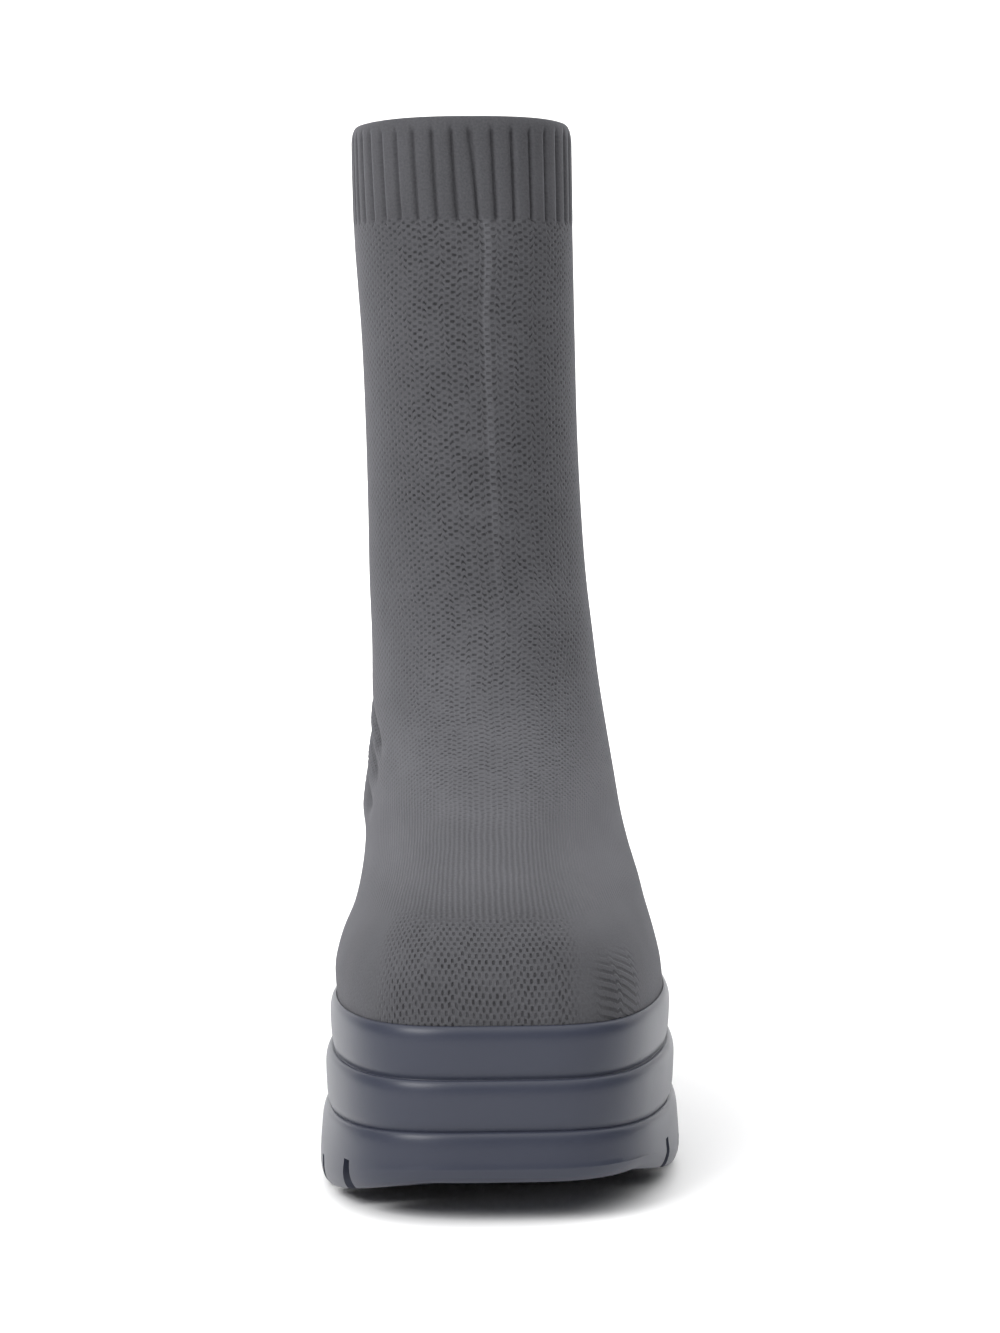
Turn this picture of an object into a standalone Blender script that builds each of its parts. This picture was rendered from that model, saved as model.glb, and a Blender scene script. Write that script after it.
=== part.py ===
"""A knitted sock boot on a three-tier platform sole, for the left foot.

Four pieces, as a maker puts them together: a seamless knitted upper with a ribbed cuff,
a moulded midsole cup with two tiers, a lugged outsole under it, and an insole.
Metres, +Z up, toe towards -Y, the inner side of the foot towards -X.
The last is drawn from the ankle axis (y = 0) and the middle of the ball (x = 0), and the
finished boot is then set over the origin, at the middle of its footprint on the floor.
"""

import math

import bmesh
import bpy
import numpy as np

# Lengths and widths of the upper, measured outside.
UPPER_LENGTH = 0.2590
HEEL_REACH = 0.0565
BALL_WIDTH = 0.0964
HEEL_WIDTH = 0.0745
SHAFT_WIDTH = 0.0700
SHAFT_DEPTH = 0.0915
INSTEP_HEIGHT = 0.0960
BOOT_HEIGHT = 0.3110
SHAFT_LEAN = 0.0080
TOE_SWING = 0.0050
HEEL_SWING = 0.0018

# Heights of the platform under the ball of the foot, and what the heel and toe add.
LIP_HEIGHT = 0.0545
UPPER_STEP = 0.0395
LOWER_STEP = 0.0228
BED_HEIGHT = 0.0430
LIP_HEEL_RISE = 0.0050
BED_HEEL_RISE = 0.0080
TOE_SPRING = 0.0100
WAIST_LIFT = 0.0030

# The tread leaves the floor along a slanted line, further back on the outer side by this share
# of the way across.
BREAK_SLANT = 0.25

# How far each tier of the platform stands out from the upper, and how its shoulder is rounded.
UPPER_TIER_OUT = 0.0021
LOWER_TIER_OUT = 0.0034
OUTSOLE_OUT = 0.0051
SHOULDER_RADIUS = 0.0024
WAIST_FILL = 0.0040

# Walls, linings and clearances.
KNIT_WALL = 0.0022
CUFF_WALL = 0.0036
INSOLE_THICKNESS = 0.0040
INSOLE_INSET = 0.0009
GAP = 0.0003

# The cuff: flat ribs with narrow grooves between them, under a plain hem. The first groove
# stands that far to the outer side of the front.
CUFF_HEIGHT = 0.0315
CUFF_STEP = 0.0020
HEM_HEIGHT = 0.0026
RIBS = 42
FIRST_GROOVE = 0.0014
RIB_GROOVE_WIDTH = 0.0013
RIB_GROOVE_DEPTH = 0.0011

# Lugs: the notches that show in the sole's side, and the grooves that run on below it.
NOTCH_HEIGHT = 0.0085
NOTCH_WIDTH = 0.0050
NOTCH_DEPTH = 0.0070
NOTCH_PITCH = 0.0280
FIRST_INNER_NOTCH = 0.0230
FIRST_OUTER_NOTCH = 0.0420
GROOVE_HEIGHT = 0.0050
GROOVE_WIDTH = 0.0060
MIDDLE_RIB = 0.0140

# How finely the skins are drawn.
COLUMNS = 72
UPPER_RINGS = 20

TOE_Y = HEEL_REACH - UPPER_LENGTH
BALL_Y = TOE_Y + 0.31 * UPPER_LENGTH
HEEL_SEAT_Y = HEEL_REACH - 0.24 * UPPER_LENGTH

# The waist between ball and heel: where the tread starts to lift and where it is down again,
# and the ramp at each end, as shares of the upper's length.
WAIST_START_Y = BALL_Y + 0.175 * UPPER_LENGTH
WAIST_END_Y = HEEL_REACH - 0.215 * UPPER_LENGTH
WAIST_RAMP = 0.08 * UPPER_LENGTH

# Places along a section, from -1 at its front to +1 at its back, where its widths are given.
INNER_PLACES = (-1.00, -0.46, 0.12, 0.62)
OUTER_PLACES = (-1.00, -0.30, 0.20, 0.62)
CENTRE_PLACES = (-1.00, -0.40, 0.15, 0.62)

# Foot sections, from the lip of the sole up to the instep. Each is a tilted slice.
# front, back: reach from the ankle axis, as shares of the upper's length
# front_up, back_up: height above the lip, as shares of the instep's height
# toe, ball: half widths as shares of half the ball's; waist, heel: of half the heel's
# nose, tail: roundness of the ends, 2 for an ellipse and more for a squarer end
# swing: how far the heel's middle stands to the outer side, as a share of the heel's swing
# bulge: how far the ball's middle stands to the inner side, as a share of the toe's swing
FOOT_COLUMNS = ("front", "front_up", "back", "back_up", "toe", "ball", "waist", "heel",
                "nose", "tail", "swing", "bulge")
FOOT_SECTIONS = (
    (0.786, 0.000, 0.216, 0.00, 0.96, 1.000, 1.030, 0.960, 3.8, 2.9, 1.0, 0.00),
    (0.785, 0.070, 0.219, 0.06, 0.96, 0.995, 1.020, 0.985, 3.8, 2.9, 1.0, 0.15),
    (0.775, 0.150, 0.221, 0.13, 0.93, 0.960, 1.020, 1.005, 3.6, 2.8, 1.0, 0.13),
    (0.752, 0.225, 0.221, 0.19, 0.87, 0.911, 1.025, 1.015, 3.3, 2.7, 1.0, -0.05),
    (0.714, 0.295, 0.219, 0.25, 0.80, 0.882, 1.030, 1.020, 2.8, 2.6, 1.1, -0.13),
    (0.650, 0.370, 0.214, 0.32, 0.72, 0.849, 1.035, 1.020, 2.4, 2.5, 1.2, -0.12),
    (0.570, 0.460, 0.206, 0.40, 0.68, 0.822, 1.035, 1.010, 2.2, 2.4, 1.35, -0.03),
    (0.475, 0.575, 0.197, 0.49, 0.68, 0.799, 1.020, 0.990, 2.1, 2.3, 1.55, 0.00),
    (0.378, 0.705, 0.188, 0.60, 0.70, 0.775, 0.995, 0.955, 2.0, 2.2, 1.6, 0.00),
    (0.300, 0.840, 0.181, 0.73, 0.72, 0.755, 0.975, 0.950, 2.0, 2.1, 1.35, 0.00),
)

# Shaft sections, from the instep up to the collar.
# front_up, back_up: height as shares of the way from the instep to the collar
# front, back: reach as shares of half the shaft's depth; width: share of half its width
# lean: how far its middle leans to the outer side, as a share of the shaft's lean
# nose, tail: roundness of the ends, as for the foot
SHAFT_COLUMNS = ("front_up", "back_up", "front", "back", "width", "lean", "nose", "tail")
SHAFT_SECTIONS = (
    (0.00, -0.09, 1.400, 0.995, 1.017, 0.20, 2.00, 2.0),
    (0.11, 0.03, 1.210, 0.985, 0.999, 0.05, 2.05, 2.0),
    (0.24, 0.17, 1.105, 0.985, 0.982, -0.06, 2.15, 2.0),
    (0.40, 0.35, 1.045, 0.990, 0.972, -0.18, 2.30, 2.1),
    (0.58, 0.56, 1.015, 0.995, 0.978, -0.31, 2.45, 2.1),
    (0.79, 0.79, 1.000, 1.000, 1.000, -0.51, 2.60, 2.2),
    (1.00, 1.00, 1.000, 1.000, 1.003, -0.59, 2.60, 2.2),
)

# The side of a tier, from its foot up to its rounded shoulder.
# inset: how far in it is from the tier's widest, as a share of the shoulder's radius
# line: 0 for the line that the tier stands on, 1 for the line that it ends at
# rise: height over that line, as a share of the shoulder's radius
SIDE_COLUMNS = ("inset", "line", "rise")
MIDSOLE_SIDE = (
    (0.42, 0, 0.06),
    (0.00, 0, 0.58),
    (0.04, 1, -1.50),
    (0.25, 1, -0.54),
)
OUTSOLE_SIDE = (
    (1.00, 0, 0.00),
    (0.42, 0, 0.58),
    (0.00, 0, 1.92),
    (0.25, 1, -3.75),
    (0.46, 1, -1.50),
    (0.75, 1, -0.50),
)


def smooth(places, values, at):
    """A smooth curve through the values, level at both ends."""
    places, values = np.asarray(places, float), np.asarray(values, float)
    slopes = np.zeros(len(values))
    slopes[1:-1] = (values[2:] - values[:-2]) / (places[2:] - places[:-2])
    at = np.clip(at, places[0], places[-1])
    k = np.clip(np.searchsorted(places, at, side="right") - 1, 0, len(places) - 2)
    span = places[k + 1] - places[k]
    t = (at - places[k]) / span
    return ((1 + 2 * t) * (1 - t) ** 2 * values[k] + t * (1 - t) ** 2 * span * slopes[k]
            + t * t * (3 - 2 * t) * values[k + 1] - t * t * (1 - t) * span * slopes[k + 1])


def rise(start, end, at):
    """0 before the start and 1 after the end, with a soft rise between them."""
    t = np.clip((at - start) / (end - start), 0, 1)
    return t * t * (3 - 2 * t)


def level(y, height, toe_rise=0.0, heel_rise=0.0):
    """The height of a line along the platform, which lifts at the toe and at the heel."""
    spring = np.clip((BALL_Y - y) / (BALL_Y - TOE_Y), 0, 1.1) ** 2
    return height + toe_rise * spring + heel_rise * rise(BALL_Y, HEEL_SEAT_Y, y)


def bed(x, y):
    return level(y, BED_HEIGHT, 0.35 * TOE_SPRING, BED_HEEL_RISE)


def lip(x, y):
    return level(y, LIP_HEIGHT, 0.10 * TOE_SPRING, LIP_HEEL_RISE)


def upper_step(x, y):
    return level(y, UPPER_STEP, 0.11 * TOE_SPRING, 0.6 * LIP_HEEL_RISE)


def lower_step(x, y):
    return level(y, LOWER_STEP, 0.32 * TOE_SPRING, 0.3 * LIP_HEEL_RISE)


def ground(x, y):
    """The tread: flat under the ball and the heel, lifted at the toe and a little at the waist."""
    start = rise(WAIST_START_Y, WAIST_START_Y + WAIST_RAMP, y)
    end = rise(WAIST_END_Y, WAIST_END_Y - WAIST_RAMP, y)
    slanted = y - BREAK_SLANT * (x + BALL_WIDTH / 2)
    return level(slanted, 0.0, TOE_SPRING) + WAIST_LIFT * start * end


def above(line, by):
    return lambda x, y: line(x, y) + by


def foot_section(row):
    """A foot section in metres: ends, half widths at the stations, and its middle line."""
    share = dict(zip(FOOT_COLUMNS, row))
    front_y, back_y = -share["front"] * UPPER_LENGTH, share["back"] * UPPER_LENGTH
    return [
        front_y,
        back_y,
        lip(0, front_y) + share["front_up"] * INSTEP_HEIGHT,
        lip(0, back_y) + share["back_up"] * INSTEP_HEIGHT,
        share["toe"] * BALL_WIDTH / 2,
        share["ball"] * BALL_WIDTH / 2,
        share["waist"] * HEEL_WIDTH / 2,
        share["heel"] * HEEL_WIDTH / 2,
        share["nose"],
        share["tail"],
        -TOE_SWING * rise(0.3, 0.75, share["front"]),
        -share["bulge"] * TOE_SWING,
        share["swing"] * HEEL_SWING,
    ]


def shaft_section(row):
    """A shaft section in metres, with the same entries as a foot section."""
    share = dict(zip(SHAFT_COLUMNS, row))
    instep = lip(0, 0) + INSTEP_HEIGHT
    width = share["width"] * SHAFT_WIDTH / 2
    middle = share["lean"] * SHAFT_LEAN
    return [
        -share["front"] * SHAFT_DEPTH / 2,
        share["back"] * SHAFT_DEPTH / 2,
        instep + share["front_up"] * (BOOT_HEIGHT - instep),
        instep + share["back_up"] * (BOOT_HEIGHT - instep),
        width,
        width,
        width,
        width,
        share["nose"],
        share["tail"],
        middle,
        0.0,
        middle,
    ]


SECTIONS = np.array([foot_section(row) for row in FOOT_SECTIONS]
                    + [shaft_section(row) for row in SHAFT_SECTIONS])
COLLAR = len(SECTIONS) - 1


def section_at(place):
    """The section at a place between the rows: 0 is the first, 1 the second and so on."""
    rows = np.arange(len(SECTIONS))
    return [float(smooth(rows, column, place)) for column in SECTIONS.T]


def ring(section, height_of=None):
    """The points round a section, from its front over the outer side to the back and on."""
    front_y, back_y, front_z, back_z, *widths, nose, tail, nose_x, bulge, tail_x = section
    turn = np.arange(COLUMNS) * 2 * math.pi / COLUMNS
    along = -np.cos(turn)
    outer = np.sin(turn) >= 0
    power = np.where(along < 0, nose, tail)
    end = np.clip(1 - np.abs(along) ** power, 0, 1) ** (1 / power)
    half = np.where(outer, smooth(OUTER_PLACES, widths, along), smooth(INNER_PLACES, widths, along))
    ball_x = nose_x + 0.7 * (tail_x - nose_x) + bulge
    middle = smooth(CENTRE_PLACES, (nose_x, ball_x, tail_x, tail_x), along)
    x = middle + np.where(outer, 1, -1) * end * half
    y = (front_y + back_y) / 2 + along * (back_y - front_y) / 2
    z = front_z + (back_z - front_z) * (along + 1) / 2 if height_of is None else height_of(x, y)
    return np.column_stack([x, y, z])


def level_ring(height, out=0.0):
    """The ring of the shaft at one height, drawn in or out by a distance."""
    places = np.linspace(len(FOOT_SECTIONS), COLLAR, 100)
    place = np.interp(height, [section_at(p)[2] for p in places], places)
    return grown(ring(section_at(place)), out, lambda x, y: height + 0 * y)


def outward(points):
    """The level directions that point out of a ring, one for each of its points."""
    way = np.roll(points, -1, axis=0) - np.roll(points, 1, axis=0)
    out = np.column_stack([way[:, 1], -way[:, 0], np.zeros(len(way))])
    return out / np.linalg.norm(out, axis=1)[:, None]


def grown(points, by, height_of=None):
    """A ring moved outwards by a distance, at its own height or at that of a line."""
    moved = points + outward(points) * np.asarray(by).reshape(-1, 1)
    if height_of is not None:
        moved[:, 2] = height_of(moved[:, 0], moved[:, 1])
    return moved


FOOTPRINT = ring(section_at(0), lip)


def sole_ring(out, height_of):
    """A ring of the platform, that far outside the upper, with the waist filled out."""
    y = FOOTPRINT[:, 1]
    heel_side = rise(HEEL_SEAT_Y + WAIST_RAMP, HEEL_SEAT_Y - 1.5 * WAIST_RAMP, y)
    fill = rise(BALL_Y, BALL_Y / 3, y) * heel_side
    share = min(out / LOWER_TIER_OUT, 1.0)
    return grown(FOOTPRINT, out + WAIST_FILL * share * fill, height_of)


def side_rings(table, out, foot, head):
    """The rings up the side of a tier that stands that far out, between two lines."""
    for row in table:
        share = dict(zip(SIDE_COLUMNS, row))
        line = above((foot, head)[share["line"]], share["rise"] * SHOULDER_RADIUS)
        yield sole_ring(out - share["inset"] * SHOULDER_RADIUS, line)


def loft(name, rings, material, parent, close_ends=True):
    """A skin over rings of points. Its ends are closed with strips from side to side."""
    mesh = bmesh.new()
    rows = [[mesh.verts.new(point) for point in points] for points in rings]
    count = len(rows[0])
    for low, high in zip(rows, rows[1:]):
        for j in range(count):
            k = (j + 1) % count
            mesh.faces.new((low[j], low[k], high[k], high[j]))
    if close_ends:
        for row in (rows[0], rows[-1]):
            for j in range(count // 2):
                strip = (row[j], row[j + 1], row[count - 1 - j], row[(count - j) % count])
                mesh.faces.new(list(dict.fromkeys(strip)))
        bmesh.ops.recalc_face_normals(mesh, faces=mesh.faces)
    data = bpy.data.meshes.new(name)
    mesh.to_mesh(data)
    mesh.free()
    data.materials.append(material)
    data.shade_smooth()
    data.set_sharp_from_angle(angle=math.radians(40))
    piece = bpy.data.objects.new(name, data)
    bpy.data.collections["sock_boot"].objects.link(piece)
    piece.parent = parent
    return piece


def finish(name, colour, roughness):
    made = bpy.data.materials.new(name)
    made.use_nodes = True
    shader = made.node_tree.nodes["Principled BSDF"]
    shader.inputs["Base Color"].default_value = (*colour, 1)
    shader.inputs["Roughness"].default_value = roughness
    shader.inputs["Metallic"].default_value = 0.0
    return made


def cut_wedges(piece, name, wedges):
    """Cuts wedges out of a piece: each a middle, a direction, a length, two widths, a height."""
    mesh = bmesh.new()
    for middle, way, length, top_width, foot_width, height in wedges:
        way = np.array([way[0], way[1], 0]) / math.hypot(way[0], way[1])
        across = np.array([-way[1], way[0], 0])
        up = np.array([0, 0, height])
        for vert in bmesh.ops.create_cube(mesh, size=1)["verts"]:
            width = top_width if vert.co.z > 0 else foot_width
            vert.co = middle + way * vert.co.x * length + across * vert.co.y * width + up * vert.co.z
    data = bpy.data.meshes.new(name)
    mesh.to_mesh(data)
    mesh.free()
    cutter = bpy.data.objects.new(name, data)
    bpy.data.collections["cutters"].objects.link(cutter)
    cutter.hide_render = True
    cutter.display_type = "WIRE"
    cutter.parent = piece.parent
    cut = piece.modifiers.new(name, "BOOLEAN")
    cut.operation = "DIFFERENCE"
    cut.object = cutter


def cuff_grooves():
    """The grooves between the ribs, spaced evenly round the cuff."""
    foot, head = BOOT_HEIGHT - CUFF_HEIGHT, BOOT_HEIGHT - HEM_HEIGHT
    edge = level_ring((foot + head) / 2)
    out = outward(edge)
    steps = np.linalg.norm(np.roll(edge, -1, axis=0) - edge, axis=1)
    run = np.concatenate([[0], np.cumsum(steps)])
    for k in range(RIBS):
        at = FIRST_GROOVE + run[-1] * k / RIBS
        point, way = (np.array([np.interp(at, run, np.append(values[:, i], values[0, i]))
                                for i in range(3)]) for values in (edge, out))
        reach = 3 * RIB_GROOVE_DEPTH
        middle = point + way * (reach / 2 - RIB_GROOVE_DEPTH)
        yield middle, way, reach, RIB_GROOVE_WIDTH, RIB_GROOVE_WIDTH, head - foot


def make_upper(material, parent):
    """The knitted upper: one wall, open at the collar and underneath."""
    foot = BOOT_HEIGHT - CUFF_HEIGHT
    head = BOOT_HEIGHT - HEM_HEIGHT
    footing = grown(FOOTPRINT, 0, above(bed, GAP))
    knit = [ring(section_at(at)) for at in np.linspace(1, COLLAR - 1, UPPER_RINGS)]
    knit = [points for points in knit if points[:, 2].max() < foot - 2 * CUFF_STEP]
    cuff = [level_ring(foot), level_ring(foot + CUFF_STEP), level_ring(head + 0.4 * HEM_HEIGHT),
            level_ring(BOOT_HEIGHT, -0.25 * CUFF_WALL)]
    upper = loft("upper", [footing, FOOTPRINT, *knit, *cuff], material, parent, close_ends=False)
    doubled = COLUMNS * (len(knit) + 3)
    thickness = upper.vertex_groups.new(name="thickness")
    thickness.add(list(range(doubled)), KNIT_WALL / CUFF_WALL, "REPLACE")
    thickness.add(list(range(doubled, len(upper.data.vertices))), 1.0, "REPLACE")
    wall = upper.modifiers.new("wall", "SOLIDIFY")
    wall.thickness = CUFF_WALL
    wall.offset = -1
    wall.vertex_group = thickness.name
    cut_wedges(upper, "rib_grooves", cuff_grooves())


def make_midsole(material, parent):
    """The moulded cup: a tray for the foot, with two tiers round its side."""
    rings = [
        *side_rings(MIDSOLE_SIDE, LOWER_TIER_OUT, lower_step, upper_step),
        *side_rings(MIDSOLE_SIDE, UPPER_TIER_OUT, upper_step, lip),
        sole_ring(UPPER_TIER_OUT - SHOULDER_RADIUS / 2, lip),
        grown(FOOTPRINT, GAP, above(lip, -SHOULDER_RADIUS / 5)),
        grown(FOOTPRINT, GAP, bed),
    ]
    loft("midsole", rings, material, parent)


def notches(first, side):
    """The notches of one side: a point on the sole's edge, the way in, and the way to the middle."""
    edge = sole_ring(OUTSOLE_OUT, ground)
    flanks = (edge[1:COLUMNS // 2], edge[:COLUMNS // 2:-1])
    inwards = (-outward(edge)[1:COLUMNS // 2], -outward(edge)[:COLUMNS // 2:-1])
    toe, heel = edge[:, 1].min(), edge[:, 1].max()
    for y in np.arange(toe + first, heel - 0.6 * NOTCH_PITCH, NOTCH_PITCH):
        outer_x, inner_x = (np.interp(y, flank[:, 1], flank[:, 0]) for flank in flanks)
        at_x = (outer_x, inner_x)[side]
        at = np.array([at_x, y, ground(at_x, y)])
        way = np.array([np.interp(y, flanks[side][:, 1], inwards[side][:, i]) for i in range(2)])
        way = way / np.linalg.norm(way)
        yield at, np.append(way, 0), (outer_x - inner_x) / 2 / abs(way[0])


def make_outsole(material, parent):
    """The bottom tier: a flared tread with lugs, its toe lifted off the floor."""
    inset = MIDSOLE_SIDE[0][SIDE_COLUMNS.index("inset")] * SHOULDER_RADIUS
    rings = [
        *side_rings(OUTSOLE_SIDE, OUTSOLE_OUT, ground, lower_step),
        sole_ring(LOWER_TIER_OUT - inset, above(lower_step, -GAP / 2)),
    ]
    outsole = loft("outsole", rings, material, parent)
    side_wedges, tread_wedges = [], []
    for first, side in ((FIRST_OUTER_NOTCH, 0), (FIRST_INNER_NOTCH, 1)):
        for at, way, half in notches(first, side):
            side_wedges.append((at, way, 2 * NOTCH_DEPTH, 0.7 * NOTCH_WIDTH, 1.7 * NOTCH_WIDTH,
                                2 * NOTCH_HEIGHT))
            run = half - MIDDLE_RIB / 2 - NOTCH_DEPTH / 2
            tread_wedges.append((at + way * (NOTCH_DEPTH + run) / 2, way, run, 0.8 * GROOVE_WIDTH,
                                 1.2 * GROOVE_WIDTH, 2 * GROOVE_HEIGHT))
    cut_wedges(outsole, "side_notches", side_wedges)
    cut_wedges(outsole, "tread_grooves", tread_wedges)


def make_insole(material, parent):
    """The sock liner: a foam sheet that lies on the tray's floor, inside the upper."""
    edge = -(KNIT_WALL + INSOLE_INSET)
    bevel = INSOLE_THICKNESS / 4
    rings = [
        grown(FOOTPRINT, edge, above(bed, GAP)),
        grown(FOOTPRINT, edge, above(bed, INSOLE_THICKNESS - bevel)),
        grown(FOOTPRINT, edge - bevel, above(bed, INSOLE_THICKNESS)),
    ]
    loft("insole", rings, material, parent)


def main():
    for old in list(bpy.data.objects):
        bpy.data.objects.remove(old)
    for name in ("sock_boot", "cutters"):
        made = bpy.data.collections.new(name)
        bpy.context.scene.collection.children.link(made)
    boot = bpy.data.objects.new("boot_origin", None)
    bpy.data.collections["sock_boot"].objects.link(boot)
    widest = sole_ring(OUTSOLE_OUT, ground)
    middle = (widest.min(axis=0) + widest.max(axis=0)) / 2
    boot.location = (-middle[0], -middle[1], 0)
    make_upper(finish("knitted_yarn", (0.130, 0.128, 0.140), 0.85), boot)
    make_midsole(finish("moulded_foam", (0.085, 0.090, 0.118), 0.42), boot)
    make_outsole(finish("outsole_rubber", (0.080, 0.085, 0.112), 0.45), boot)
    make_insole(finish("insole_cloth", (0.060, 0.060, 0.066), 0.9), boot)


main()
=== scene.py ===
"""Looks for a packed sock boot: its knitted upper, its moulded platform, its insole and a studio.

Metres, in the row's frame: +Z up, the toe towards -Y, the inner side of the left foot towards -X.
"""

import math

import bpy
import numpy as np
from mathutils import Matrix, Vector


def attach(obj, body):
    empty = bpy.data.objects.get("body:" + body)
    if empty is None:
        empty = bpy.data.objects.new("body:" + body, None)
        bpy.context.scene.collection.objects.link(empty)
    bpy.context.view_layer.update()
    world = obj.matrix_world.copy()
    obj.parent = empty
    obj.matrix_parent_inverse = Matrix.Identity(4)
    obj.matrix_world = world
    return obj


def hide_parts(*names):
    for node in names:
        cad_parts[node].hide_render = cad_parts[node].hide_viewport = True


bl_info = {
    "name": "Sock boot looks",
    "version": (1, 0, 0),
    "blender": (4, 5, 0),
    "location": "3D View > Sidebar > Sock boot",
    "description": "Models the knitted upper, the platform, the insole and the studio",
    "category": "Object",
}

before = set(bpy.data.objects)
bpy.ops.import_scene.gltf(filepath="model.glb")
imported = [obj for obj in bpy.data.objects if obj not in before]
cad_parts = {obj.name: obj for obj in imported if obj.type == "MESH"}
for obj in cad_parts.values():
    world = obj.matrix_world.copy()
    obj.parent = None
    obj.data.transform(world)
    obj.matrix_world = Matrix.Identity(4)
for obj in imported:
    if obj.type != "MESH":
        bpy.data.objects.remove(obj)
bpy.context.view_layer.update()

MM = 0.001

# The last and the platform, with the sizes and sections that the part's source has.
UPPER_LENGTH = 0.2590
HEEL_REACH = 0.0565
BALL_WIDTH = 0.0964
HEEL_WIDTH = 0.0745
SHAFT_WIDTH = 0.0700
SHAFT_DEPTH = 0.0915
INSTEP_HEIGHT = 0.0960
BOOT_HEIGHT = 0.3110
SHAFT_LEAN = 0.0080
TOE_SWING = 0.0050
HEEL_SWING = 0.0018
LIP_HEIGHT = 0.0545
UPPER_STEP = 0.0395
LOWER_STEP = 0.0228
BED_HEIGHT = 0.0430
LIP_HEEL_RISE = 0.0050
BED_HEEL_RISE = 0.0080
TOE_SPRING = 0.0100
WAIST_LIFT = 0.0030
BREAK_SLANT = 0.25
UPPER_TIER_OUT = 0.0021
LOWER_TIER_OUT = 0.0034
OUTSOLE_OUT = 0.0051
WAIST_FILL = 0.0040
INSOLE_THICKNESS = 0.0040
INSOLE_INSET = 0.0031
GAP = 0.0003
CUFF_HEIGHT = 0.0315
NOTCH_HEIGHT = 0.0085
NOTCH_WIDTH = 0.0050
NOTCH_DEPTH = 0.0070
NOTCH_PITCH = 0.0280
FIRST_INNER_NOTCH = 0.0230
FIRST_OUTER_NOTCH = 0.0420
GROOVE_HEIGHT = 0.0050
GROOVE_WIDTH = 0.0060
MIDDLE_RIB = 0.0140

TOE_Y = HEEL_REACH - UPPER_LENGTH
BALL_Y = TOE_Y + 0.31 * UPPER_LENGTH
HEEL_SEAT_Y = HEEL_REACH - 0.24 * UPPER_LENGTH
WAIST_START_Y = BALL_Y + 0.175 * UPPER_LENGTH
WAIST_END_Y = HEEL_REACH - 0.215 * UPPER_LENGTH
WAIST_RAMP = 0.08 * UPPER_LENGTH
CUFF_FOOT = BOOT_HEIGHT - CUFF_HEIGHT

# Where the four half widths of a section hold, from -1 at its front to 1 at its back.
INNER_PLACES = (-1.00, -0.46, 0.12, 0.62)
OUTER_PLACES = (-1.00, -0.30, 0.20, 0.62)
CENTRE_PLACES = (-1.00, -0.40, 0.15, 0.62)

# Foot sections from the lip up: reaches as shares of the length, heights of the instep's,
# half widths of the ball's or heel's, the roundness of both ends, the heel's swing to the outer
# side, and how far the ball bulges to the inner side.
FOOT_COLUMNS = ("front", "front_up", "back", "back_up", "toe", "ball", "waist", "heel",
                "nose", "tail", "swing", "bulge")
FOOT_SECTIONS = (
    (0.786, 0.000, 0.216, 0.00, 0.96, 1.000, 1.030, 0.960, 3.8, 2.9, 1.0, 0.00),
    (0.785, 0.070, 0.219, 0.06, 0.96, 0.995, 1.020, 0.985, 3.8, 2.9, 1.0, 0.15),
    (0.775, 0.150, 0.221, 0.13, 0.93, 0.960, 1.020, 1.005, 3.6, 2.8, 1.0, 0.13),
    (0.752, 0.225, 0.221, 0.19, 0.87, 0.911, 1.025, 1.015, 3.3, 2.7, 1.0, -0.05),
    (0.714, 0.295, 0.219, 0.25, 0.80, 0.882, 1.030, 1.020, 2.8, 2.6, 1.1, -0.13),
    (0.650, 0.370, 0.214, 0.32, 0.72, 0.849, 1.035, 1.020, 2.4, 2.5, 1.2, -0.12),
    (0.570, 0.460, 0.206, 0.40, 0.68, 0.822, 1.035, 1.010, 2.2, 2.4, 1.35, -0.03),
    (0.475, 0.575, 0.197, 0.49, 0.68, 0.799, 1.020, 0.990, 2.1, 2.3, 1.55, 0.00),
    (0.378, 0.705, 0.188, 0.60, 0.70, 0.775, 0.995, 0.955, 2.0, 2.2, 1.6, 0.00),
    (0.300, 0.840, 0.181, 0.73, 0.72, 0.755, 0.975, 0.950, 2.0, 2.1, 1.35, 0.00),
)

# Shaft sections from the instep up: heights as shares of the way to the collar, reaches of
# half the depth, widths of half the width, the lean of the middle, and how round the ends are.
SHAFT_COLUMNS = ("front_up", "back_up", "front", "back", "width", "lean", "nose", "tail")
SHAFT_SECTIONS = (
    (0.00, -0.09, 1.400, 0.995, 1.017, 0.20, 2.00, 2.0),
    (0.11, 0.03, 1.210, 0.985, 0.999, 0.05, 2.05, 2.0),
    (0.24, 0.17, 1.105, 0.985, 0.982, -0.06, 2.15, 2.0),
    (0.40, 0.35, 1.045, 0.990, 0.972, -0.18, 2.30, 2.1),
    (0.58, 0.56, 1.015, 0.995, 0.978, -0.31, 2.45, 2.1),
    (0.79, 0.79, 1.000, 1.000, 1.000, -0.51, 2.60, 2.2),
    (1.00, 1.00, 1.000, 1.000, 1.003, -0.59, 2.60, 2.2),
)

# Soft folds of the knit at the inner ankle, each a trough from its back end to its front end,
# with those ends as y and z and its depth, all in mm.
FOLD_COLUMNS = ("back", "back_up", "front", "front_up", "deep")
FOLDS = (
    (30, 143, -70, 113, 2.6),
    (34, 134, -80, 106, 3.0),
    (34, 125, -87, 98, 3.2),
)

# How far a fold bows and how wide its trough is, in mm. Above each trough is a low ridge, with
# its distance and width in mm and its height as a share of the trough's depth.
FOLD_BOW = 1.5
TROUGH_WIDTH = 2.1
RIDGE_AWAY, RIDGE_WIDTH, RIDGE_SHARE = 4.6, 2.4, 0.40

# A fold deepens over the first pair of shares of its length and fades over the second, and it
# lies only on the inner side, where it starts and is full at these x.
FOLD_START = (-0.05, 0.62)
FOLD_END = (1.00, 0.72)
FOLD_SIDE = (-0.018, -0.030)

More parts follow.
